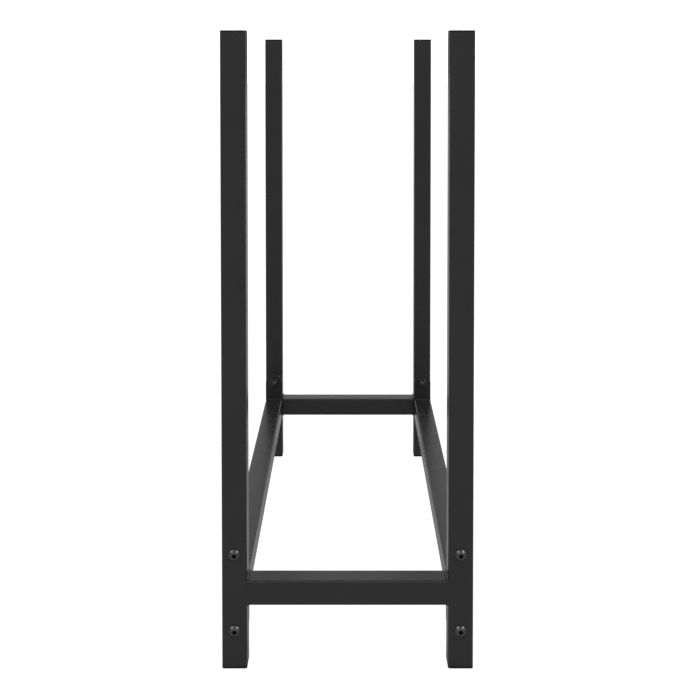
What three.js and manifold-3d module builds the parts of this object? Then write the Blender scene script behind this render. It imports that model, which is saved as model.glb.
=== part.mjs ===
// Firewood log rack. Two welded H-shaped end frames of square steel tube are joined low down by
// two tube rails, one on each side. Every rail ends in a round-ended plate, which two bolts hold to
// the inside of an upright. Plastic caps close the tops and the feet of the uprights.
//
// Millimetres. X runs across the rack, Y along the rails and Z up. The origin is on the floor, at
// the middle of the footprint. Left is -X, right is +X, front is -Y and rear is +Y.

import * as THREE from "three";
import { mergeVertices } from "three/addons/utils/BufferGeometryUtils.js";
import Module from "manifold-3d";

const wasm = await Module();
wasm.setup();

// The whole rack
const rackLength = 762; // over the outer faces of the two end frames
const rackWidth = 300; // over the outer faces of the uprights
const rackHeight = 762; // from the floor to the top of the caps
const railHeight = 91.5; // from the floor to the centre line of the rails and crossbars

// Square tube, the same for uprights, crossbars and rails
const tubeSize = 30;
const tubeWall = 1.5;
const tubeCornerRadius = 2.5;

// Round-ended plate on each end of a rail
const plateThickness = 3;
const boltSpacing = 92; // between the two bolts of one plate

// Plastic caps
const topFlangeThickness = 2;
const footFlangeThickness = 3;
const plugDepth = 14;
const plugWall = 2;
const plugRibHeight = 0.6;
const plugRibThickness = 1;
const plugRibPitch = 4;
const plugRibCount = 2;

// Button-head socket bolt, with its washer and hexagon nut
const boltRadius = 4;
const boltTipBeyondNut = 2.4;
const boltTipChamfer = 0.8;
const headRadius = 7;
const headHeight = 4.4;
const headRim = 0.6; // the straight edge under the dome
const socketAcrossFlats = 5;
const socketDepth = 2.6;
const washerRadius = 8;
const washerThickness = 1.6;
const nutAcrossFlats = 13;
const nutThickness = 6.8;
const nutCornerDrop = 1.2; // how far the chamfer comes down at a nut's corners
const nutFaceStep = 0.3; // from a nut's flats in to the round edge of its outer face

// Fits
const jointGap = 0.3; // between pieces that meet face to face
const boltClearance = 0.5; // on radius, where a bolt passes through a tube, a plate or a washer
const threadClearance = 0.3; // on radius, between a bolt and its nut

// Facets
const cornerSteps = 2;
const roundSteps = 16;
const domeSteps = 4;

// Worked out from the sizes above
const tubeInside = tubeSize - 2 * tubeWall;
const tubeInsideRadius = Math.max(tubeCornerRadius - tubeWall, 0.2);
const uprightX = (rackWidth - tubeSize) / 2;
const uprightY = (rackLength - tubeSize) / 2;
const uprightBottom = footFlangeThickness + jointGap;
const uprightTop = rackHeight - topFlangeThickness - jointGap;
const boltHoleRadius = boltRadius + boltClearance;
// Where a corner's pieces lie along Y, counted inwards from the upright's centre line.
const headSeat = -tubeSize / 2 - jointGap;
const plateStart = tubeSize / 2 + jointGap;
const washerStart = plateStart + plateThickness + jointGap;
const nutStart = washerStart + washerThickness + jointGap;
const boltLength = nutStart + nutThickness + boltTipBeyondNut - headSeat;
const boltHeights = { lower: railHeight - boltSpacing / 2, upper: railHeight + boltSpacing / 2 };

// Shapes and solids

function roundedSquare(size, radius) {
  const flat = size / 2 - radius;
  const shape = new THREE.Shape();
  shape.absarc(flat, flat, radius, 0, Math.PI / 2);
  shape.absarc(-flat, flat, radius, Math.PI / 2, Math.PI);
  shape.absarc(-flat, -flat, radius, Math.PI, 1.5 * Math.PI);
  shape.absarc(flat, -flat, radius, 1.5 * Math.PI, 2 * Math.PI);
  shape.closePath();
  return shape;
}

function extrude(shape, depth, curveSegments = cornerSteps) {
  return new THREE.ExtrudeGeometry(shape, { depth, curveSegments, bevelEnabled: false });
}

function toSolid(geometry) {
  const bare = geometry.clone();
  bare.deleteAttribute("normal");
  bare.deleteAttribute("uv");
  const merged = mergeVertices(bare);
  const vertProperties = new Float32Array(merged.attributes.position.array);
  const triVerts = new Uint32Array(merged.index.array);
  return new wasm.Manifold(new wasm.Mesh({ numProp: 3, vertProperties, triVerts }));
}

function toGeometry(manifold) {
  const { vertProperties, triVerts } = manifold.getMesh();
  const geometry = new THREE.BufferGeometry();
  geometry.setAttribute("position", new THREE.BufferAttribute(new Float32Array(vertProperties), 3));
  geometry.setIndex(new THREE.BufferAttribute(new Uint32Array(triVerts), 1));
  geometry.computeVertexNormals();
  return geometry;
}

// A straight tube along Z, starting at z = 0 and open at both ends.
function squareTube(length) {
  const section = roundedSquare(tubeSize, tubeCornerRadius);
  section.holes.push(roundedSquare(tubeInside, tubeInsideRadius));
  return extrude(section, length);
}

// Steel pieces

// An upright stands on z = uprightBottom. Two bolts pass through it along Y.
function uprightGeometry() {
  const tube = squareTube(uprightTop - uprightBottom).translate(0, 0, uprightBottom);
  let upright = toSolid(tube);
  for (const height of Object.values(boltHeights)) {
    const drill = new THREE.CylinderGeometry(boltHoleRadius, boltHoleRadius, 2 * tubeSize, roundSteps);
    upright = upright.subtract(toSolid(drill.translate(0, 0, height)));
  }
  return toGeometry(upright);
}

// A crossbar runs along X between the inner faces of two uprights.
function crossbarGeometry() {
  const length = rackWidth - 2 * tubeSize - 2 * jointGap;
  return squareTube(length).translate(0, 0, -length / 2).rotateY(Math.PI / 2);
}

// A rail runs along Y between the plates at its two ends.
function railGeometry() {
  const length = rackLength - 2 * tubeSize - 2 * plateThickness - 4 * jointGap;
  return squareTube(length).translate(0, 0, -length / 2).rotateX(Math.PI / 2);
}

// A plate is as wide as the tube. Its ends are half circles about the bolt holes, and its outer
// face lies on y = 0.
function endPlateGeometry() {
  const radius = tubeSize / 2;
  const reach = boltSpacing / 2;
  const outline = new THREE.Shape();
  outline.absarc(0, reach, radius, 0, Math.PI);
  outline.absarc(0, -reach, radius, Math.PI, 2 * Math.PI);
  outline.closePath();
  for (const height of [-reach, reach]) {
    const hole = new THREE.Path();
    hole.absarc(0, height, boltHoleRadius, 0, 2 * Math.PI, true);
    outline.holes.push(hole);
  }
  const plate = extrude(outline, plateThickness, roundSteps / 2);
  return plate.rotateX(Math.PI / 2).translate(0, plateThickness, railHeight);
}

// Plastic caps

// A cap's flange lies on z = 0 to the flange's thickness, and its hollow ribbed plug stands on it.
function capGeometry(flangeThickness) {
  const flange = toSolid(extrude(roundedSquare(tubeSize, tubeCornerRadius), flangeThickness));
  const ribSize = tubeInside - 2 * jointGap;
  const plugSize = ribSize - 2 * plugRibHeight;
  const plugStart = flangeThickness / 2;
  const plugTop = flangeThickness + jointGap + plugDepth;
  const plug = roundedSquare(plugSize, tubeInsideRadius);
  const bore = roundedSquare(plugSize - 2 * plugWall, tubeInsideRadius);
  let cap = flange.add(toSolid(extrude(plug, plugTop - plugStart, 1).translate(0, 0, plugStart)));
  for (let rib = 1; rib <= plugRibCount; rib += 1) {
    const ring = extrude(roundedSquare(ribSize, tubeInsideRadius), plugRibThickness, 1);
    cap = cap.add(toSolid(ring.translate(0, 0, flangeThickness + rib * plugRibPitch)));
  }
  const hollow = extrude(bore, plugTop, 1).translate(0, 0, flangeThickness);
  return toGeometry(cap.subtract(toSolid(hollow)));
}

function footCapGeometry() {
  return capGeometry(footFlangeThickness);
}

function topCapGeometry() {
  return capGeometry(topFlangeThickness).rotateX(Math.PI).translate(0, 0, rackHeight);
}

// Bolts, washers and nuts, each along Y

function hexPrism(acrossFlats, length) {
  const cornerRadius = acrossFlats / Math.sqrt(3);
  return new THREE.CylinderGeometry(cornerRadius, cornerRadius, length, 6);
}

// The head bears on y = 0 with its dome towards -Y, and the shank runs towards +Y.
function boltGeometry() {
  const rise = headHeight - headRim;
  const domeRadius = (headRadius ** 2 + rise ** 2) / (2 * rise);
  const domeAngle = Math.asin(headRadius / domeRadius);
  const profile = [];
  for (let step = 0; step <= domeSteps; step += 1) {
    const angle = (domeAngle * step) / domeSteps;
    const drop = domeRadius * (1 - Math.cos(angle));
    profile.push(new THREE.Vector2(domeRadius * Math.sin(angle), drop - headHeight));
  }
  profile.push(new THREE.Vector2(headRadius, 0));
  profile.push(new THREE.Vector2(boltRadius, 0));
  profile.push(new THREE.Vector2(boltRadius, boltLength - boltTipChamfer));
  profile.push(new THREE.Vector2(boltRadius - boltTipChamfer, boltLength));
  profile.push(new THREE.Vector2(0, boltLength));
  const blank = toSolid(new THREE.LatheGeometry(profile, roundSteps));
  const socket = hexPrism(socketAcrossFlats, 2 * socketDepth).translate(0, -headHeight, 0);
  return toGeometry(blank.subtract(toSolid(socket)));
}

// A washer lies on y = 0 to its thickness.
function washerGeometry() {
  const profile = [
    new THREE.Vector2(boltHoleRadius, 0),
    new THREE.Vector2(washerRadius, 0),
    new THREE.Vector2(washerRadius, washerThickness),
    new THREE.Vector2(boltHoleRadius, washerThickness),
    new THREE.Vector2(boltHoleRadius, 0),
  ];
  return new THREE.LatheGeometry(profile, roundSteps);
}

// A nut lies on y = 0 to its thickness. A cone rounds off its corners on the outer face.
function nutGeometry() {
  const cornerRadius = nutAcrossFlats / Math.sqrt(3);
  const profile = [
    new THREE.Vector2(0, 0),
    new THREE.Vector2(cornerRadius, 0),
    new THREE.Vector2(cornerRadius, nutThickness - nutCornerDrop),
    new THREE.Vector2(nutAcrossFlats / 2 - nutFaceStep, nutThickness),
    new THREE.Vector2(0, nutThickness),
  ];
  const body = toSolid(hexPrism(nutAcrossFlats, nutThickness).translate(0, nutThickness / 2, 0));
  const cone = toSolid(new THREE.LatheGeometry(profile, roundSteps));
  const boreRadius = boltRadius + threadClearance;
  const bore = new THREE.CylinderGeometry(boreRadius, boreRadius, 3 * nutThickness, roundSteps);
  return toGeometry(body.intersect(cone).subtract(toSolid(bore)));
}

// Finishes

function powderCoat() {
  return new THREE.MeshStandardMaterial({ color: 0x303032, roughness: 0.55, metalness: 0.1 });
}

function capPlastic() {
  return new THREE.MeshStandardMaterial({ color: 0x151516, roughness: 0.5, metalness: 0 });
}

function blackZinc() {
  return new THREE.MeshStandardMaterial({ color: 0x3c3c3f, roughness: 0.3, metalness: 0.9 });
}

// Assembly

const rack = new THREE.Group();

const ends = { front: -1, rear: 1 };
const sides = { left: -1, right: 1 };

const shapes = {
  upright: uprightGeometry(),
  crossbar: crossbarGeometry(),
  rail: railGeometry(),
  endPlate: endPlateGeometry(),
  topCap: topCapGeometry(),
  footCap: footCapGeometry(),
  bolt: boltGeometry(),
  washer: washerGeometry(),
  nut: nutGeometry(),
};

function addPiece(parent, name, geometry, material, position = [0, 0, 0]) {
  const piece = new THREE.Mesh(geometry, material);
  piece.name = name;
  piece.position.set(...position);
  parent.add(piece);
}

// One corner of the rack, drawn with the outside of the rack towards -Y. The rear corners are
// turned half round.
function addCorner(endName, sideName) {
  const corner = new THREE.Group();
  corner.position.set(sides[sideName] * uprightX, ends[endName] * uprightY, 0);
  corner.rotation.z = ends[endName] > 0 ? Math.PI : 0;
  rack.add(corner);
  const place = `${endName}_${sideName}`;
  addPiece(corner, `${place}_upright`, shapes.upright, powderCoat());
  addPiece(corner, `${place}_end_plate`, shapes.endPlate, powderCoat(), [0, plateStart, 0]);
  addPiece(corner, `${place}_top_cap`, shapes.topCap, capPlastic());
  addPiece(corner, `${place}_foot_cap`, shapes.footCap, capPlastic());
  for (const [level, height] of Object.entries(boltHeights)) {
    const fixing = `${place}_${level}`;
    addPiece(corner, `${fixing}_bolt`, shapes.bolt, blackZinc(), [0, headSeat, height]);
    addPiece(corner, `${fixing}_washer`, shapes.washer, blackZinc(), [0, washerStart, height]);
    addPiece(corner, `${fixing}_nut`, shapes.nut, blackZinc(), [0, nutStart, height]);
  }
}

for (const [endName, end] of Object.entries(ends)) {
  const position = [0, end * uprightY, railHeight];
  addPiece(rack, `${endName}_crossbar`, shapes.crossbar, powderCoat(), position);
  for (const sideName of Object.keys(sides)) {
    addCorner(endName, sideName);
  }
}

for (const [sideName, side] of Object.entries(sides)) {
  addPiece(rack, `${sideName}_rail`, shapes.rail, powderCoat(), [side * uprightX, 0, railHeight]);
}

export default rack;
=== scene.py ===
# Firewood log rack, drawn piece by piece in the order in which the rack is made and put together.
# Metres, with Z up and the rails along Y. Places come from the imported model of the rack.

import math

import bpy
from mathutils import Matrix, Vector


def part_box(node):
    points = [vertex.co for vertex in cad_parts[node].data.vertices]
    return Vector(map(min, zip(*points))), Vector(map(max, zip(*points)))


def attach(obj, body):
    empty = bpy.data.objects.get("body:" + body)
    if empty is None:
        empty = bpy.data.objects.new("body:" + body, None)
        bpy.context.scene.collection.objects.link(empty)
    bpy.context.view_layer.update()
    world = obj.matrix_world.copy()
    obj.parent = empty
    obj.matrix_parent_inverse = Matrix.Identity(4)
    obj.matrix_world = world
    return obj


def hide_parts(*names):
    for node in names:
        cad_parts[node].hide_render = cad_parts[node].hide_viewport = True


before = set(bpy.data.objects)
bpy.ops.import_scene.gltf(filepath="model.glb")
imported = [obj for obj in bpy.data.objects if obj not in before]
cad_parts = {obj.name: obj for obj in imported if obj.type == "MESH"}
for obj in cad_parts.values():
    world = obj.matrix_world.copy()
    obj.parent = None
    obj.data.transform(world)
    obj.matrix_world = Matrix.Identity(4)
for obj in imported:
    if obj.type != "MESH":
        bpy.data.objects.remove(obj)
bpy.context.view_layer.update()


# Uprights
# Four lengths of 30 mm square steel tube. The tube is roll-formed, so its corners are rounded; it is
# cut square, drilled through near the foot for the rail bolts, and powder coated black.

TUBE_WALL = 0.0015
TUBE_CORNER = 0.0025
BOLT_HOLE_RADIUS = 0.0045
WORKING_GAP = 0.0003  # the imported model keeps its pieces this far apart; drawn pieces meet
CORNER_STEPS = 8
# Rounded corners are paler: the coat is thin there, and the paler colour is also a painted highlight
# along each corner.
CORNER_WEAR_AND_HIGHLIGHT = 0.5
SAWN_WEAR_AND_HIGHLIGHT = 1.0  # the coat is thin on an edge left by the saw, and the pale band there is also a painted highlight of light from the floor
WELDED_WEAR = 0.0
END_BURR = 0.0005  # how far the sawn ends are broken back
WEAR_DEPTH = 0.0014  # how far the thin coat, with its painted highlight, reaches in from a sawn end
CORNER_LEAD = 0.0004  # flat strip beside a rounded corner that keeps the wide faces flat in shading
SHARP_ANGLE = math.radians(32)
DRILL_STEPS = 40
DRILL_REACH = 0.1  # how far a drill goes to either side of its place

ENDS = {"front": -1, "rear": 1}
SIDES = {"left": -1, "right": 1}
LEVELS = ("lower", "upper")


def round_square(half, radius):
    """Points round a square with rounded corners, each with how deep it lies in its corner."""
    points = []
    for quarter in range(4):
        turn = Matrix.Rotation(quarter * math.pi / 2, 2)
        centre = Vector((half - radius, half - radius))
        points.append((turn @ Vector((half, half - radius - CORNER_LEAD)), 0.0))
        for step in range(CORNER_STEPS + 1):
            angle = step / CORNER_STEPS * math.pi / 2
            arm = radius * Vector((math.cos(angle), math.sin(angle)))
            points.append((turn @ (centre + arm), CORNER_WEAR_AND_HIGHLIGHT * math.sin(2 * angle)))
        points.append((turn @ Vector((half - radius - CORNER_LEAD, half)), 0.0))
    return points


def loft(name, rings, looped=False):
    """A closed mesh through rings of (point, edge) pairs. A looped loft joins its last ring to its
    first, and any other is faced over at both ends. The edge values say where a coat wears, where
    its paleness is also a painted highlight, and where a socket's painted shade goes."""
    count = len(rings[0])
    points = [point for ring in rings for point, _ in ring]
    faces = []
    spans = len(rings) if looped else len(rings) - 1
    for span in range(spans):
        low = span * count
        high = (span + 1) % len(rings) * count
        for i in range(count):
            j = (i + 1) % count
            faces.append((low + i, low + j, high + j, high + i))
    if not looped:
        faces.append(tuple(reversed(range(count))))
        faces.append(tuple(range(len(points) - count, len(points))))
    mesh = bpy.data.meshes.new(name)
    mesh.from_pydata(points, [], faces)
    wear = mesh.attributes.new("edge", "FLOAT", "POINT")
    wear.data.foreach_set("value", [edge for ring in rings for _, edge in ring])
    return mesh


def lifted(outline, height, wear=0.0):
    """A flat outline as a ring at one height, with wear and painted highlight at least as much as told.
    """
    return [(Vector((*point, height)), max(edge, wear)) for point, edge in outline]


def tube(name, length, size, end_wear):
    """A square tube standing on the origin, open at both ends, its sawn ends broken back a little
    and worn, with a painted highlight, as told."""
    outer = round_square(size / 2, TUBE_CORNER)
    cut = round_square(size / 2 - END_BURR, TUBE_CORNER - END_BURR)
    inner = round_square(size / 2 - TUBE_WALL, TUBE_CORNER - TUBE_WALL)
    rings = [
        lifted(cut, 0, end_wear),
        lifted(outer, END_BURR, end_wear),
        lifted(outer, END_BURR + WEAR_DEPTH),
        lifted(outer, length - END_BURR - WEAR_DEPTH),
        lifted(outer, length - END_BURR, end_wear),
        lifted(cut, length, end_wear),
        lifted(inner, length),
        lifted(inner, 0),
    ]
    return loft(name, rings, looped=True)


def evaluated(piece):
    """What an object's modifiers make of it, as a plain mesh."""
    depsgraph = bpy.context.evaluated_depsgraph_get()
    return bpy.data.meshes.new_from_object(piece.evaluated_get(depsgraph), depsgraph=depsgraph)


def drilled(mesh, places, radius):
    """The mesh with a hole through it along Y at each place."""
    work = bpy.data.objects.new(mesh.name, mesh)
    bpy.context.scene.collection.objects.link(work)
    drills = []
    for place in places:
        rings = []
        for along in (-DRILL_REACH, DRILL_REACH):
            ring = []
            for step in range(DRILL_STEPS):
                angle = step / DRILL_STEPS * 2 * math.pi
                arm = Vector((math.sin(angle), 0, math.cos(angle))) * radius
                ring.append((place + arm + Vector((0, along, 0)), 0.0))
            rings.append(ring)
        drill = bpy.data.objects.new("drill", loft("drill", rings))
        bpy.context.scene.collection.objects.link(drill)
        cut = work.modifiers.new("hole", "BOOLEAN")
        cut.object = drill
        cut.solver = "EXACT"
        drills.append(drill)
    result = evaluated(work)
    for spare in (work, *drills):
        bpy.data.objects.remove(spare)
    return result


def bolt_middles(end, side):
    """Where the two bolts pass through one upright and the plate behind it."""
    places = []
    for level in LEVELS:
        low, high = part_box(f"{end}_{side}_{level}_bolt")
        places.append((low + high) / 2)
    return places


def smoothed(mesh):
    """Rounded stretches shade smoothly and real edges stay sharp."""
    mesh.shade_smooth()
    mesh.set_sharp_from_angle(angle=SHARP_ANGLE)
    return mesh


def add_piece(name, mesh, material):
    """A finished mesh as an object of the scene, at the origin and unturned."""
    mesh.materials.clear()
    mesh.materials.append(material)
    piece = bpy.data.objects.new(name, mesh)
    bpy.context.scene.collection.objects.link(piece)
    return piece


class Value:
    """A number that varies over a surface. Arithmetic on it adds Math nodes to its tree."""

    def __init__(self, tree, socket):
        self.tree = tree
        self.socket = socket

    def __add__(self, other):
        return self.tree.maths("ADD", self, other)

    def __sub__(self, other):
        return self.tree.maths("SUBTRACT", self, other)

    def __rsub__(self, other):
        return self.tree.maths("SUBTRACT", other, self)

    def __mul__(self, other):
        return self.tree.maths("MULTIPLY", self, other)

    def __truediv__(self, other):
        return self.tree.maths("DIVIDE", self, other)

    def __rtruediv__(self, other):
        return self.tree.maths("DIVIDE", other, self)

    def __pow__(self, other):
        return self.tree.maths("POWER", self, other)

    __radd__ = __add__
    __rmul__ = __mul__


class Tree:
    """A node tree in which every node is added in one way: its type, its settings, its sockets."""

    def __init__(self, tree):
        self.tree = tree

    def node(self, kind, settings=None, sockets=None):
        """Adds one node."""
        made = self.tree.nodes.new(kind)
        for name, value in (settings or {}).items():
            setattr(made, name, value)
        for name, value in (sockets or {}).items():
            self.feed(self.socket(made.inputs, name), value)
        return made

    def socket(self, sockets, name):
        """One of a node's sockets, by its identifier or else by its name."""
        exact = [s for s in sockets if s.identifier == name]
        return exact[0] if exact else sockets[name]

    def feed(self, socket, value):
        """Links a socket to where its value comes from, or sets it where the value is fixed."""
        source = value.socket if isinstance(value, Value) else value
        if isinstance(source, bpy.types.NodeSocket):
            self.tree.links.new(source, socket)
        else:
            socket.default_value = source

    def maths(self, operation, first, second):
        """One step of arithmetic."""
        sockets = {"Value": first, "Value_001": second}
        made = self.node("ShaderNodeMath", {"operation": operation}, sockets)
        return Value(self, made.outputs[0])

    def step(self, value, span):
        """A smooth step from 0 to 1 as a value goes from the start of a span to its end."""
        sockets = {"Value": value, "From Min": span[0], "From Max": span[1]}
        settings = {"interpolation_type": "SMOOTHSTEP"}
        return Value(self, self.node("ShaderNodeMapRange", settings, sockets).outputs[0])


class Finish(Tree):
    """A material with one Principled shader, patterned by the place on the object."""

    def __init__(self, name, **constants):
        self.material = bpy.data.materials.new(name)
        self.material.use_nodes = True
        super().__init__(self.material.node_tree)
        self.shader = self.tree.nodes["Principled BSDF"]
        self.place = self.node("ShaderNodeTexCoord").outputs["Object"]
        for socket, value in constants.items():
            self.shader.inputs[socket.replace("_", " ")].default_value = value

    def noise(self, size, detail=2.0):
        """Cloudy noise from 0 to 1 with features about `size` across."""
        sockets = {"Vector": self.place, "Scale": 1 / size, "Detail": detail}
        return Value(self, self.node("ShaderNodeTexNoise", None, sockets).outputs["Fac"])

    def edge(self):
        """The edge values that the mesh was made with."""
        made = self.node("ShaderNodeAttribute", {"attribute_name": "edge"})
        return Value(self, made.outputs["Fac"])

    def facing_up(self):
        """How far the surface faces upwards, from 0 to 1."""
        normal = self.node("ShaderNodeTexCoord").outputs["Normal"]
        split = self.node("ShaderNodeSeparateXYZ", None, {"Vector": normal})
        return self.maths("MAXIMUM", Value(self, split.outputs["Z"]), 0.0)

    def blend(self, factor, first, second):
        """A colour between two colours."""
        sockets = {"Factor_Float": factor, "A_Color": first, "B_Color": second}
        made = self.node("ShaderNodeMix", {"data_type": "RGBA"}, sockets)
        return self.socket(made.outputs, "Result_Color")

    def finish(self, colour, roughness, height, depth):
        """Sends the patterns to the shader. `depth` is how far the relief stands, in metres."""
        bump = self.node("ShaderNodeBump", None, {"Height": height, "Distance": depth})
        self.feed(self.shader.inputs["Base Color"], colour)
        self.feed(self.shader.inputs["Roughness"], roughness)
        self.feed(self.shader.inputs["Normal"], bump.outputs[0])
        return self.material


PLASTIC_IOR = 1.45  # of the powder coat's resin, and of most plastics
COAT_DARKEST = (0.0060, 0.0062, 0.0075, 1)
COAT_PALEST = (0.0115, 0.0116, 0.0128, 1)
# Pale edge colour: thin coat, and also a painted highlight on corners and sawn ends.
THIN_COAT_AND_PAINTED_HIGHLIGHT = (0.060, 0.059, 0.058, 1)
THIN_COAT_AND_HIGHLIGHT_SHARE = 0.7
DUST = (0.25, 0.24, 0.23, 1)
DUST_SHARE = 0.05
COAT_ROUGHNESS = 0.23
DRIFT_SIZE = 0.06
PEEL_SIZE = 0.0022
GRAIN_SIZE = 0.0005
WEAR_PATCH_SIZE = 0.004
WEAR_PATCH = (0.45, 0.7)  # where in the noise a patch begins and is full
DUST_PATCH_SIZE = 0.012
DUST_PATCH = (0.4, 0.75)
COAT_RELIEF = 0.00007


def powder_coat():
    """Satin black powder coat: slow drift in shade, orange peel, fine grain, paler edges that are
    partly thin coat and partly a painted highlight, and a trace of dust on what faces up."""
    coat = Finish("powder_coat", IOR=PLASTIC_IOR)
    drift = coat.noise(DRIFT_SIZE, detail=3)
    peel = coat.noise(PEEL_SIZE, detail=1)
    grain = coat.noise(GRAIN_SIZE, detail=2)
    patchy = 0.4 + 0.6 * coat.step(coat.noise(WEAR_PATCH_SIZE, detail=4), WEAR_PATCH)
    worn_and_highlit = coat.edge() * patchy
    dust = coat.facing_up() ** 2 * coat.step(coat.noise(DUST_PATCH_SIZE, detail=6), DUST_PATCH)
    black = coat.blend(drift, COAT_DARKEST, COAT_PALEST)
    # Paler edges: thin coat, and a painted highlight along the corners and sawn ends.
    thin_and_highlit_coat = coat.blend(worn_and_highlit**2 * THIN_COAT_AND_HIGHLIGHT_SHARE, black, THIN_COAT_AND_PAINTED_HIGHLIGHT)
    dusted = coat.blend(dust * DUST_SHARE, thin_and_highlit_coat, DUST)
    roughness = COAT_ROUGHNESS + drift * 0.06 + grain * 0.05 - worn_and_highlit * 0.04 + dust * 0.1
    return coat.finish(dusted, roughness, peel * 0.7 + grain * 0.3, COAT_RELIEF)


coated_steel = powder_coat()

for end in ENDS:
    for side in SIDES:
        node = f"{end}_{side}_upright"
        low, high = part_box(node)
        size = high.x - low.x
        upright = tube(f"{end}_{side}_post", high.z - low.z + 2 * WORKING_GAP, size, SAWN_WEAR_AND_HIGHLIGHT)
        middle = (low + high) / 2
        upright.transform(Matrix.Translation((middle.x, middle.y, low.z - WORKING_GAP)))
        upright = smoothed(drilled(upright, bolt_middles(end, side), BOLT_HOLE_RADIUS))
        post = add_piece(f"{end}_{side}_post", upright, coated_steel)
        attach(post, "root")
        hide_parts(node)


# Crossbars
# Two short lengths of the same tube, welded low down between a pair of uprights to make an H-shaped
# end frame. On the outside the joint is dressed flush, and on the inside its groove stays open.

for end, outward in ENDS.items():
    node = f"{end}_crossbar"
    low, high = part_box(node)
    length = high.x - low.x + 2 * WORKING_GAP
    bar = tube(f"{end}_cross_tube", length, high.z - low.z, WELDED_WEAR)
    along_x = Matrix.Rotation(math.pi / 2, 4, "Y")
    middle = (low + high) / 2
    start = Vector((low.x - WORKING_GAP, middle.y, middle.z))
    bar.transform(Matrix.Translation(start) @ along_x)
    outer_face = high.y if outward > 0 else low.y
    for vertex in bar.vertices:
        # The dressed weld carries the outer face on to the upright, over its rounded corner.
        depth = abs(vertex.co.y - outer_face)
        if depth < TUBE_CORNER:
            fill = TUBE_CORNER - math.sqrt(TUBE_CORNER**2 - (TUBE_CORNER - depth) ** 2)
            vertex.co.x += math.copysign(fill, vertex.co.x)
    cross = add_piece(f"{end}_cross_tube", smoothed(bar), coated_steel)
    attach(cross, "root")
    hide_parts(node)


# Rails
# Two long lengths of the same tube, one on each side of the rack. The logs lie across their tops.

for side in SIDES:
    node = f"{side}_rail"
    low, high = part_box(node)
    length = high.y - low.y + 2 * WORKING_GAP
    bar = tube(f"{side}_long_rail", length, high.x - low.x, WELDED_WEAR)
    along_y = Matrix.Rotation(-math.pi / 2, 4, "X")
    middle = (low + high) / 2
    start = Vector((middle.x, low.y - WORKING_GAP, middle.z))
    bar.transform(Matrix.Translation(start) @ along_y)
    rail = add_piece(f"{side}_long_rail", smoothed(bar), coated_steel)
    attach(rail, "root")
    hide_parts(node)


# End plates
# Flat steel plates with half-round ends, punched for two bolts. One is welded square on each end of
# a rail, and it is bolted against the inside of an upright.

PLATE_EDGE = 0.0004  # the punched edge is broken by this much
PLATE_STEPS = 24
PLATE_WEAR = 0.2


def round_ended(half_width, half_height):
    """Points round an upright plate whose top and bottom are half circles."""
    points = []
    for turn, centre in ((0, half_height - half_width), (math.pi, half_width - half_height)):
        for step in range(PLATE_STEPS + 1):
            angle = turn + step / PLATE_STEPS * math.pi
            x = half_width * math.cos(angle)
            z = centre + half_width * math.sin(angle)
            points.append((x, z))
    return points


for end in ENDS:
    for side in SIDES:
        node = f"{end}_{side}_end_plate"
        low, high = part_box(node)
        middle = (low + high) / 2
        half_width = (high.x - low.x) / 2
        half_height = (high.z - low.z) / 2
        rings = []
        for y, inset in (
            (high.y, PLATE_EDGE),
            (high.y - PLATE_EDGE, 0),
            (low.y + PLATE_EDGE, 0),
            (low.y, PLATE_EDGE),
        ):
            outline = round_ended(half_width - inset, half_height - inset)
            rings.append([(Vector((middle.x + x, y, middle.z + z)), PLATE_WEAR) for x, z in outline])
        holes = bolt_middles(end, side)
        plate = smoothed(drilled(loft("plate", rings), holes, BOLT_HOLE_RADIUS))
        piece = add_piece(f"{end}_{side}_rail_plate", plate, coated_steel)
        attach(piece, "root")
        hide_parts(node)


# Welds
# Short fillet welds, laid in ripples and coated with the rest of the steel. They join the crossbars
# to the uprights, above and below, and the rails to their plates.

FRAME_LEG = 0.0025
RAIL_LEG = 0.0009
WELD_BULGE = 0.14  # share of the leg
WELD_BLUNT = 0.02  # how far short of its tip a weld's round end stops, as a share of the leg
WELD_ROOT = 0.0004  # how far the weld bites into the two parts
WELD_LENGTH = 0.0262
RIPPLE_PITCH = 0.0013
RIPPLE_HEIGHT = 0.07  # share of the leg
RIPPLE_BOW = 0.5  # how far a ripple's middle runs ahead of its ends, in ripples
STEPS_PER_RIPPLE = 6
FACE_STEPS = 8
WELD_WANDER = 0.15  # how far the hand lets a weld wander, as a share of its leg
WANDER_SIZE = 0.006  # the length over which a weld wanders one way
UP = Vector((0, 0, 1))


def weld_bead(leg):
    """One weld along X from its middle, in the corner between the faces y = 0 and z = 0."""
    steps = round(WELD_LENGTH / RIPPLE_PITCH * STEPS_PER_RIPPLE)
    rings = []
    for step in range(steps + 1):
        x = (step / steps - 0.5) * WELD_LENGTH
        from_end = (WELD_LENGTH / 2 - abs(x)) / leg
        taper = math.sqrt(1 - (1 - min(1.0, from_end + WELD_BLUNT)) ** 2)
        ring = [(-WELD_ROOT, -WELD_ROOT), (leg * taper, -WELD_ROOT)]
        for face_step in range(FACE_STEPS + 1):
            across = face_step / FACE_STEPS
            middle = 4 * across * (1 - across)
            phase = (x / RIPPLE_PITCH - RIPPLE_BOW * middle) % 1
            crest = 1 + RIPPLE_HEIGHT * (math.sqrt(1 - (2 * phase - 1) ** 2) - 0.5)
            rise = WELD_BULGE * middle
            scale = leg * taper * crest
            ring.append((scale * (1 - across + rise), scale * (across + rise)))
        ring.append((-WELD_ROOT, leg * taper))
        rings.append([(Vector((x, y, z)), 0.0) for y, z in ring])
    return loft("weld_bead", rings)


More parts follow.
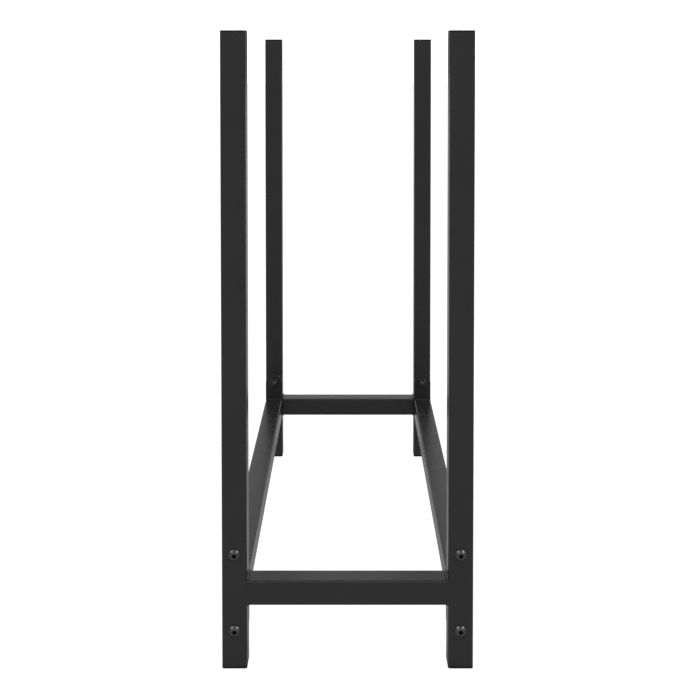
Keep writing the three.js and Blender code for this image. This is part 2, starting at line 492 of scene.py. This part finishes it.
def copies_tree():
    """Sets a piece on every point, turned by the point's own turn and then spun about its own axis
    by a chance angle, and lets hand work wander a little."""
    group = bpy.data.node_groups.new("copies", "GeometryNodeTree")
    for name, kind in (
        ("Points", "NodeSocketGeometry"),
        ("Piece", "NodeSocketObject"),
        ("Spin", "NodeSocketFloat"),
        ("Wander", "NodeSocketFloat"),
        ("Wander Size", "NodeSocketFloat"),
        ("Seed", "NodeSocketInt"),
        ("Material", "NodeSocketMaterial"),
    ):
        group.interface.new_socket(name, in_out="INPUT", socket_type=kind)
    group.interface.new_socket("Geometry", in_out="OUTPUT", socket_type="NodeSocketGeometry")
    tree = Tree(group)
    given = tree.node("NodeGroupInput").outputs
    turn = tree.node("GeometryNodeInputNamedAttribute", {"data_type": "FLOAT_VECTOR"}, {"Name": "turn"})
    piece = tree.node("GeometryNodeObjectInfo", None, {"Object": given["Piece"]})
    placed = tree.node(
        "GeometryNodeInstanceOnPoints",
        None,
        {
            "Points": given["Points"],
            "Instance": piece.outputs["Geometry"],
            "Rotation": turn.outputs["Attribute"],
        },
    )
    chance = tree.node(
        "FunctionNodeRandomValue",
        {"data_type": "FLOAT"},
        {"Min_001": 0.0, "Max_001": given["Spin"], "Seed": given["Seed"]},
    )
    angle = tree.socket(chance.outputs, "Value_001")
    about_axis = tree.node("ShaderNodeCombineXYZ", None, {"Z": angle})
    spun = tree.node(
        "GeometryNodeRotateInstances",
        None,
        {"Instances": placed.outputs[0], "Rotation": about_axis.outputs[0], "Local Space": True},
    )
    real = tree.node("GeometryNodeRealizeInstances", None, {"Geometry": spun.outputs[0]})
    place = tree.node("GeometryNodeInputPosition").outputs[0]
    cloud = tree.node(
        "ShaderNodeTexNoise",
        {"noise_dimensions": "4D"},
        {"Vector": place, "W": given["Seed"], "Scale": 1 / Value(tree, given["Wander Size"])},
    )
    centred = tree.node(
        "ShaderNodeVectorMath",
        {"operation": "SUBTRACT"},
        {"Vector": cloud.outputs["Color"], "Vector_001": (0.5, 0.5, 0.5)},
    )
    offset = tree.node(
        "ShaderNodeVectorMath",
        {"operation": "SCALE"},
        {"Vector": centred.outputs[0], "Scale": given["Wander"]},
    )
    moved = tree.node(
        "GeometryNodeSetPosition",
        None,
        {"Geometry": real.outputs[0], "Offset": offset.outputs[0]},
    )
    coated = tree.node(
        "GeometryNodeSetMaterial",
        None,
        {"Geometry": moved.outputs[0], "Material": given["Material"]},
    )
    tree.node("NodeGroupOutput", None, {"Geometry": coated.outputs[0]})
    return group


copies = copies_tree()


def set_out(name, master, places, material, spin=0.0, wander=0.0, seed=1):
    """One plain mesh with a copy of the master at each place, a place being a 4x4 matrix."""
    points = bpy.data.meshes.new(name)
    points.from_pydata([place.translation for place in places], [], [])
    turn = points.attributes.new("turn", "FLOAT_VECTOR", "POINT")
    turn.data.foreach_set("vector", [angle for place in places for angle in place.to_euler()])
    model = bpy.data.objects.new("master", master)
    work = bpy.data.objects.new(name, points)
    for item in (model, work):
        bpy.context.scene.collection.objects.link(item)
    modifier = work.modifiers.new("copies", "NODES")
    modifier.node_group = copies
    values = {
        "Piece": model,
        "Spin": spin,
        "Wander": wander,
        "Wander Size": WANDER_SIZE,
        "Seed": seed,
        "Material": material,
    }
    for socket in copies.interface.items_tree:
        if socket.name in values:
            modifier[socket.identifier] = values[socket.name]
    result = evaluated(work)
    for spare in (work, model):
        bpy.data.objects.remove(spare)
    return result


def bar_end_welds(node, outward):
    """The places of the welds above and below a bar, at its end that faces outward. A weld runs along
    its X, with one leg on the bar and the other on the face that the bar butts against."""
    low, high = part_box(node)
    reach = abs(outward.dot(high - low)) / 2 + WORKING_GAP
    bar_end = (low + high) / 2 + outward * reach
    places = []
    for vertical, face_z in ((UP, high.z), (-UP, low.z)):
        run = vertical.cross(outward)
        turn = Matrix((run, -outward, vertical)).transposed().to_4x4()
        places.append(Matrix.Translation((bar_end.x, bar_end.y, face_z)) @ turn)
    return places


frame_welds = []
for end in ENDS:
    for across in SIDES.values():
        frame_welds += bar_end_welds(f"{end}_crossbar", Vector((across, 0, 0)))

rail_welds = []
for side in SIDES:
    for outward in ENDS.values():
        rail_welds += bar_end_welds(f"{side}_rail", Vector((0, outward, 0)))

for name, leg, places, seed in (
    ("frame_welds", FRAME_LEG, frame_welds, 3),
    ("rail_welds", RAIL_LEG, rail_welds, 8),
):
    wander = leg * WELD_WANDER
    beads = set_out(name, weld_bead(leg), places, coated_steel, wander=wander, seed=seed)
    welds = add_piece(name, smoothed(beads), coated_steel)
    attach(welds, "root")


# Caps and feet
# Moulded black plastic. A cap's flange closes the top of an upright and a thicker one is its foot;
# behind each flange a hollow plug with two ribs is pushed into the tube.

CAP_ROUNDING = 0.0005
CAP_UNDERCUT = 0.00025
CAP_ARC_STEPS = 4
PLUG_HALF = 0.0126
RIB_HALF = 0.0132
PLUG_CORNER = 0.001
PLUG_WALL = 0.002
RIB_PITCH = 0.004
RIB_THICKNESS = 0.001
ROUNDING_WEAR = 0.6
SKIRT_WEAR = 0.2


def cap(flange, half, plug_end):
    """A cap with its outer face on z = 0 and its plug downwards, to z = -plug_end."""
    path = []
    for step in range(CAP_ARC_STEPS + 1):
        angle = step / CAP_ARC_STEPS * math.pi / 2
        inset = CAP_ROUNDING * (1 - math.sin(angle))
        drop = CAP_ROUNDING * (math.cos(angle) - 1)
        path.append((half - inset, drop, TUBE_CORNER, ROUNDING_WEAR))
    path.append((half, CAP_UNDERCUT - flange, TUBE_CORNER, SKIRT_WEAR))
    path.append((half - CAP_UNDERCUT, -flange, TUBE_CORNER, SKIRT_WEAR))
    path.append((PLUG_HALF, -flange, PLUG_CORNER, 0))
    for rib in (1, 2):
        top = -flange - rib * RIB_PITCH + RIB_THICKNESS / 2
        path.append((PLUG_HALF, top, PLUG_CORNER, 0))
        path.append((RIB_HALF, top - RIB_THICKNESS / 4, PLUG_CORNER, 0))
        path.append((RIB_HALF, top - RIB_THICKNESS * 3 / 4, PLUG_CORNER, 0))
        path.append((PLUG_HALF, top - RIB_THICKNESS, PLUG_CORNER, 0))
    path.append((PLUG_HALF, -plug_end, PLUG_CORNER, 0))
    path.append((PLUG_HALF - PLUG_WALL, -plug_end, PLUG_CORNER, 0))
    path.append((PLUG_HALF - PLUG_WALL, -flange, PLUG_CORNER, 0))
    rings = []
    for ring_half, z, radius, wear in path:
        outline = round_square(ring_half, radius)
        rings.append([(Vector((*point, z)), wear) for point, _ in outline])
    mesh = loft("cap", rings)
    mesh.flip_normals()
    return mesh


PLASTIC_DARKEST = (0.004, 0.004, 0.0042, 1)
PLASTIC_PALEST = (0.010, 0.010, 0.0102, 1)
PLASTIC_ROUGHNESS = 0.45
PLASTIC_SHINE = 0.26
SCUFF = (0.035, 0.035, 0.035, 1)
SCUFF_SHARE = 0.4
SPARK_GRAIN_SIZE = 0.00035
PLASTIC_CLOUD_SIZE = 0.008
SCUFF_SIZE = 0.002
SCUFF_PATCH = (0.45, 0.75)
PLASTIC_RELIEF = 0.00004


def moulded_plastic():
    """Black moulded plastic with a fine spark-eroded grain, slightly scuffed where it stands proud."""
    plastic = Finish("moulded_plastic", IOR=PLASTIC_IOR, Specular_IOR_Level=PLASTIC_SHINE)
    grain = plastic.noise(SPARK_GRAIN_SIZE, detail=3)
    cloud = plastic.noise(PLASTIC_CLOUD_SIZE, detail=3)
    scuffed = plastic.edge() * plastic.step(plastic.noise(SCUFF_SIZE, detail=5), SCUFF_PATCH)
    black = plastic.blend(cloud, PLASTIC_DARKEST, PLASTIC_PALEST)
    colour = plastic.blend(scuffed * SCUFF_SHARE, black, SCUFF)
    roughness = PLASTIC_ROUGHNESS + cloud * 0.15 + scuffed * 0.1
    return plastic.finish(colour, roughness, grain, PLASTIC_RELIEF)


black_plastic = moulded_plastic()

for name, kind, downwards in (("top_caps", "top_cap", False), ("feet", "foot_cap", True)):
    nodes = [f"{end}_{side}_{kind}" for end in ENDS for side in SIDES]
    places = []
    for node in nodes:
        low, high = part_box(node)
        middle = (low + high) / 2
        face = low.z if downwards else high.z
        over = Matrix.Rotation(math.pi if downwards else 0, 4, "X")
        places.append(Matrix.Translation((middle.x, middle.y, face)) @ over)
    low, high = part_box(nodes[0])
    tube_low, tube_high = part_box(nodes[0].replace(kind, "upright"))
    flange = tube_low.z - low.z if downwards else high.z - tube_high.z
    master = cap(flange - WORKING_GAP, (high.x - low.x) / 2, high.z - low.z)
    caps = add_piece(name, smoothed(set_out(name, master, places, black_plastic)), black_plastic)
    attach(caps, "root")
    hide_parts(*nodes)


# Bolts, washers and nuts
# M8 button-head bolts with a hexagon socket, in black zinc. Each goes in from the outside through an
# upright and an end plate, and takes a flat washer and a hexagon nut inside the rack.

TURN_STEPS = 48
DOME_STEPS = 10
HEAD_RIM = 0.0010  # the straight side under the dome
HEAD_EDGE = 0.0002
SOCKET_FLATS = 0.005
SOCKET_DEPTH = 0.0026
SOCKET_LEAD = 0.0003
SOCKET_POINT = 0.0006  # how far the drill's point goes under the socket's floor
POINT_RADIUS = 0.0004
MOUTH_LAND = 0.0008
MOUTH_LIP = 0.00005
SHANK_RADIUS = 0.004
THREAD_PITCH = 0.00125
THREAD_DEPTH = 0.00065
THREAD_LENGTH = 0.013
THREAD_FIT = 0.0001
STEPS_PER_THREAD = 8
TIP_CHAMFER = 0.0008
TIP_FACE_INSET = 1.5 * TIP_CHAMFER
NUT_FLATS = 0.013
NUT_FACE_STEP = 0.0002  # from the flats in to the round edge of a face
NUT_CHAMFER = 0.0011
CHAMFER_STEPS = 5
CHAMFER_FADE = 1.3 * NUT_CHAMFER  # how far the rubbed strip reaches in from a face
COUNTERSINK = 0.0005
WASHER_EDGE = 0.0002

# How far the plate is rubbed bright, from 0 to 1. A sunk surface takes painted shade: the dark deep in
# the socket is painted into its colour.
SUNK_IN_PAINTED_SHADE = -1
UNRUBBED = 0
FLATS_RUBBED = 0.1
BORE_RUBBED = 0.2
SOCKET_RUBBED = 0.3
FACE_RUBBED = 0.5
CORNERS_RUBBED = 0.7
RIM_RUBBED = 0.8
MOUTH_RUBBED = 1


def hexagon(flats, angle):
    """How far a hexagon's side is from its middle in one direction."""
    sector = math.pi / 3
    return flats / 2 / math.cos(angle % sector - sector / 2)


def turned(name, path, looped=False):
    """A part turned about Z. Each step of the path is a height, a radius and an edge value, and the
    radius may be a rule that takes the angle and the height."""
    rings = []
    for z, radius, wear in path:
        ring = []
        for step in range(TURN_STEPS):
            angle = step / TURN_STEPS * 2 * math.pi
            reach = radius(angle, z) if callable(radius) else radius
            ring.append((Vector((reach * math.cos(angle), reach * math.sin(angle), z)), wear))
        rings.append(ring)
    return loft(name, rings, looped)


def bolt(head_height, head_radius, shank_end, seat):
    """A bolt that bears on z = seat, with its dome upwards and its shank down to shank_end."""
    top = seat + head_height
    floor = top - SOCKET_DEPTH
    thread_start = shank_end + THREAD_LENGTH

    def socket(angle, z):
        return hexagon(SOCKET_FLATS, angle)

    def mouth(angle, z):
        return hexagon(SOCKET_FLATS + 2 * SOCKET_LEAD, angle)

    def thread(angle, z):
        phase = (z / THREAD_PITCH + angle / (2 * math.pi)) % 1
        groove = THREAD_DEPTH * (1 - abs(2 * phase - 1))
        tip = SHANK_RADIUS - TIP_CHAMFER + (z - shank_end)
        run_in = max(0.0, 1 - (thread_start - z) / THREAD_PITCH)
        return min(SHANK_RADIUS - groove * (1 - run_in), tip)

    rise = head_height - HEAD_RIM
    dome = (head_radius**2 + rise**2) / (2 * rise)
    start = math.asin((SOCKET_FLATS / 2 + MOUTH_LAND) / dome)
    end = math.asin(head_radius / dome)
    path = [
        # The socket's sunk surfaces carry the mark for painted shade.
        (floor - SOCKET_POINT, POINT_RADIUS, SUNK_IN_PAINTED_SHADE),
        (floor, socket, SUNK_IN_PAINTED_SHADE),
        (top - 4 * SOCKET_LEAD, socket, SUNK_IN_PAINTED_SHADE),
        (top - 2 * SOCKET_LEAD, socket, SOCKET_RUBBED),
        (top - dome * (1 - math.cos(start)) + MOUTH_LIP, mouth, MOUTH_RUBBED),
    ]
    for step in range(DOME_STEPS + 1):
        angle = start + (end - start) * step / DOME_STEPS
        path.append((top - dome * (1 - math.cos(angle)), dome * math.sin(angle), UNRUBBED))
    path.append((seat + HEAD_EDGE, head_radius, UNRUBBED))
    path.append((seat, head_radius - HEAD_EDGE, UNRUBBED))
    path.append((seat, SHANK_RADIUS, UNRUBBED))
    steps = round(THREAD_LENGTH / THREAD_PITCH * STEPS_PER_THREAD)
    for step in range(steps + 1):
        path.append((thread_start - step / steps * THREAD_LENGTH, thread, FLATS_RUBBED))
    path.append((shank_end, SHANK_RADIUS - TIP_FACE_INSET, FACE_RUBBED))
    mesh = turned("bolt", path)
    mesh.flip_normals()
    return mesh


def washer(radius, hole, thickness, seat):
    """A flat washer lying on z = seat, downwards from it."""
    edge = WASHER_EDGE
    under = seat - thickness
    path = [
        (under, hole + edge, FACE_RUBBED),
        (under, radius - edge, RIM_RUBBED),
        (under + edge, radius, RIM_RUBBED),
        (seat - edge, radius, RIM_RUBBED),
        (seat, radius - edge, RIM_RUBBED),
        (seat, hole + edge, FACE_RUBBED),
        (seat - edge, hole, FACE_RUBBED),
        (under + edge, hole, FACE_RUBBED),
    ]
    return turned("washer", path, looped=True)


def nut(thickness, thread_radius, seat):
    """A hexagon nut below z = seat, with the corners of both faces turned off to a cone."""
    under = seat - thickness
    face_radius = NUT_FLATS / 2 - NUT_FACE_STEP
    slope = NUT_CHAMFER / (NUT_FLATS / math.sqrt(3) - face_radius)

    def side(angle, z):
        cone = face_radius + min(z - under, seat - z) / slope
        return min(hexagon(NUT_FLATS, angle), cone)

    steps = [step / CHAMFER_STEPS * NUT_CHAMFER for step in range(CHAMFER_STEPS + 1)]
    path = [(under + step, side, CORNERS_RUBBED) for step in steps]
    path.append((under + CHAMFER_FADE, side, FLATS_RUBBED))
    path.append((seat - CHAMFER_FADE, side, FLATS_RUBBED))
    path += [(seat - step, side, CORNERS_RUBBED) for step in reversed(steps)]
    path.append((seat, thread_radius + COUNTERSINK, BORE_RUBBED))
    path.append((seat - COUNTERSINK, thread_radius, UNRUBBED))
    path.append((under + COUNTERSINK, thread_radius, UNRUBBED))
    path.append((under, thread_radius + COUNTERSINK, BORE_RUBBED))
    return turned("nut", path, looped=True)


PLATE_ROUGHNESS = 0.12
RUBBED_STEEL = (0.28, 0.275, 0.27, 1)
RUBBED_SHARE = 0.5
# The painted shade deep inside a bolt's socket.
SOCKET_PAINTED_SHADE = (0.004, 0.004, 0.004, 1)
PLATE_CLOUD_SIZE = 0.0035
PLATE_GRAIN_SIZE = 0.0004
RUB_SIZE = 0.0006
RUB_PATCH = (0.3, 0.75)
PLATE_RELIEF = 0.000006


def black_zinc(name, darkest, palest):
    """Black zinc plate on steel: dark metal, brighter where handling has rubbed its edges, and painted
    shade in the dark of a bolt's socket.
    """
    plate = Finish(name, Metallic=1.0)
    cloud = plate.noise(PLATE_CLOUD_SIZE, detail=4)
    fine = plate.noise(PLATE_GRAIN_SIZE, detail=3)
    rubbed = plate.edge() * plate.step(plate.noise(RUB_SIZE, detail=2), RUB_PATCH)
    dark = plate.blend(cloud, darkest, palest)
    bright = plate.blend(rubbed * RUBBED_SHARE, dark, RUBBED_STEEL)
    # Painted shade: the sunk surfaces of the socket are darkened in colour where the socket shades
    # them.
    painted_socket_shade = plate.step(plate.edge(), (UNRUBBED, SUNK_IN_PAINTED_SHADE))
    colour = plate.blend(painted_socket_shade, bright, SOCKET_PAINTED_SHADE)
    roughness = PLATE_ROUGHNESS + cloud * 0.1 + fine * 0.06
    return plate.finish(colour, roughness, fine, PLATE_RELIEF)


bolt_plate = black_zinc("bolt_plate", (0.050, 0.050, 0.052, 1), (0.110, 0.108, 0.110, 1))
nut_plate = black_zinc("nut_plate", (0.022, 0.022, 0.023, 1), (0.042, 0.042, 0.044, 1))


def fixing_nodes(kind):
    """The eight CAD nodes of one kind of fastener, with the way out of the rack at each."""
    return [
        (f"{end}_{side}_{level}_{kind}", out)
        for end, out in ENDS.items()
        for side in SIDES
        for level in LEVELS
    ]


def fixing_places(kind):
    """A place for each fastener, with Z out of the rack, on the outer face of its node."""
    places = []
    for node, out in fixing_nodes(kind):
        low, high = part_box(node)
        middle = (low + high) / 2
        outer_face = high.y if out > 0 else low.y
        turn = Matrix.Rotation(-out * math.pi / 2, 4, "X")
        places.append(Matrix.Translation((middle.x, outer_face, middle.z)) @ turn)
    return places


front_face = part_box("front_left_upright")[0].y

low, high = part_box("front_left_upper_bolt")
head_height = front_face - WORKING_GAP - low.y
drawn_height = head_height + WORKING_GAP
bolt_master = bolt(drawn_height, (high.x - low.x) / 2, low.y - high.y, -drawn_height)

low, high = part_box("front_left_upper_washer")
washer_thickness = high.y - low.y + WORKING_GAP
washer_master = washer((high.x - low.x) / 2, BOLT_HOLE_RADIUS, washer_thickness, WORKING_GAP)

low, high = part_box("front_left_upper_nut")
nut_master = nut(high.y - low.y + WORKING_GAP, SHANK_RADIUS + THREAD_FIT, WORKING_GAP)

for kind, master, plate, seed in (
    ("bolt", bolt_master, bolt_plate, 5),
    ("washer", washer_master, nut_plate, 6),
    ("nut", nut_master, nut_plate, 9),
):
    made = set_out(kind + "s", master, fixing_places(kind), plate, spin=2 * math.pi, seed=seed)
    fixings = add_piece(kind + "s", smoothed(made), plate)
    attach(fixings, "root")
    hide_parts(*[node for node, _ in fixing_nodes(kind)])


# Studio
# A plain pale floor and backdrop that come out the same white, under a wide soft light overhead, two
# softboxes at the front and a soft sky that is brightest part of the way up, in front of the rack.

FLOOR_HALF = 30.0
FLOOR_PALEST = (0.62, 0.62, 0.62, 1)
FLOOR_DARKEST = (0.58, 0.58, 0.58, 1)
FLOOR_ROUGHNESS = 0.9
FLOOR_CLOUD_SIZE = 0.5
FLOOR_GRAIN_SIZE = 0.01
FLOOR_RELIEF = 0.0001
SHOWN_WHITE = 1.5  # how bright the floor's evener part and the backdrop look from the camera
EVENED = 0.6  # share of the floor's look that takes no shadow
LOW_SKY = 0.15
FRONT_SKY = 0.36
HIGH_SKY = 0.51
DARK_ZENITH = 0.85  # share of the high sky that is missing straight above
FRONT_FADE = (0.3, -1.0)  # where along Y the front sky begins and is full
HIGH_FADE = (-0.02, 0.26)  # where along Z the high sky begins and is full
ZENITH_FADE = (0.5, 0.85)  # where along Z it goes dark again
OVERHEAD = 0.5
OVERHEAD_SPREAD = math.radians(70)
LEFT_KEY = 0.65
RIGHT_KEY = 0.85
KEY_SPREAD = math.radians(30)
KEY_HEIGHT = math.radians(40)
KEY_SIDE = math.radians(57)

floor_mesh = bpy.data.meshes.new("floor")
floor_corners = [(-1, -1), (1, -1), (1, 1), (-1, 1)]
floor_points = [(x * FLOOR_HALF, y * FLOOR_HALF, 0) for x, y in floor_corners]
floor_mesh.from_pydata(floor_points, [], [(0, 1, 2, 3)])
pale = Finish("pale_floor")
tone = pale.blend(pale.noise(FLOOR_CLOUD_SIZE, detail=3), FLOOR_DARKEST, FLOOR_PALEST)
pale_floor = pale.finish(tone, FLOOR_ROUGHNESS, pale.noise(FLOOR_GRAIN_SIZE), FLOOR_RELIEF)
glow = pale.node("ShaderNodeEmission", None, {"Strength": SHOWN_WHITE})
share = Value(pale, pale.node("ShaderNodeLightPath").outputs["Is Camera Ray"]) * EVENED
shaders = {"Fac": share, "Shader": pale.shader.outputs[0], "Shader_001": glow.outputs[0]}
evened = pale.node("ShaderNodeMixShader", None, shaders)
pale.feed(pale.tree.nodes["Material Output"].inputs["Surface"], evened.outputs[0])
floor = add_piece("floor", floor_mesh, pale_floor)


def softbox(name, strength, spread, height, side):
    """A wide, far light. Its height is from the floor, and its side is the turn from the front."""
    light = bpy.data.lights.new(name, "SUN")
    light.energy = strength
    light.angle = spread
    lamp = bpy.data.objects.new(name, light)
    lamp.rotation_euler = (math.pi / 2 - height, 0, side)
    bpy.context.scene.collection.objects.link(lamp)


softbox("overhead", OVERHEAD, OVERHEAD_SPREAD, math.pi / 2, 0)
softbox("left_key", LEFT_KEY, KEY_SPREAD, KEY_HEIGHT, -KEY_SIDE)
softbox("right_key", RIGHT_KEY, KEY_SPREAD, KEY_HEIGHT, KEY_SIDE)

world = bpy.data.worlds.new("studio")
world.use_nodes = True
bpy.context.scene.world = world
sky = Tree(world.node_tree)
direction = sky.node("ShaderNodeTexCoord").outputs["Generated"]
parts = sky.node("ShaderNodeSeparateXYZ", None, {"Vector": direction}).outputs
front = FRONT_SKY * sky.step(parts["Y"], FRONT_FADE)
high_up = HIGH_SKY * sky.step(parts["Z"], HIGH_FADE)
strength = LOW_SKY + front + high_up * (1 - DARK_ZENITH * sky.step(parts["Z"], ZENITH_FADE))
white = (1, 1, 1, 1)
lit = sky.node("ShaderNodeBackground", None, {"Color": white, "Strength": strength})
shown = sky.node("ShaderNodeBackground", None, {"Color": white, "Strength": SHOWN_WHITE})
to_camera = sky.node("ShaderNodeLightPath").outputs["Is Camera Ray"]
shaders = {"Fac": to_camera, "Shader": lit.outputs[0], "Shader_001": shown.outputs[0]}
either = sky.node("ShaderNodeMixShader", None, shaders)
sky.feed(sky.tree.nodes["World Output"].inputs["Surface"], either.outputs[0])
bpy.context.scene.view_settings.view_transform = "Standard"


# Camera
# Near the height of the tops of the uprights and square to the front end frame, tipped down by two
# degrees, with the lens shifted down so that the uprights stay close to parallel.

EYE_HEIGHT = 0.7313
EYE_DISTANCE = 1.3554  # from the front face of the front end frame
EYE_SIDE = 0.0019
LENS = 59.74
PITCH = math.radians(2.015)
SHIFT = (-0.0017, -0.3606)
SENSOR_WIDTH = 36.0
NEAREST_SEEN = 0.05
FARTHEST_SEEN = 80

eye = bpy.data.cameras.new("eye")
eye.sensor_width = SENSOR_WIDTH
eye.lens = LENS
eye.shift_x, eye.shift_y = SHIFT
eye.clip_start = NEAREST_SEEN
eye.clip_end = FARTHEST_SEEN
camera = bpy.data.objects.new("eye", eye)
camera.location = (EYE_SIDE, front_face - EYE_DISTANCE, EYE_HEIGHT)
camera.rotation_euler = (math.pi / 2 - PITCH, 0, 0)
bpy.context.scene.collection.objects.link(camera)
bpy.context.scene.camera = camera
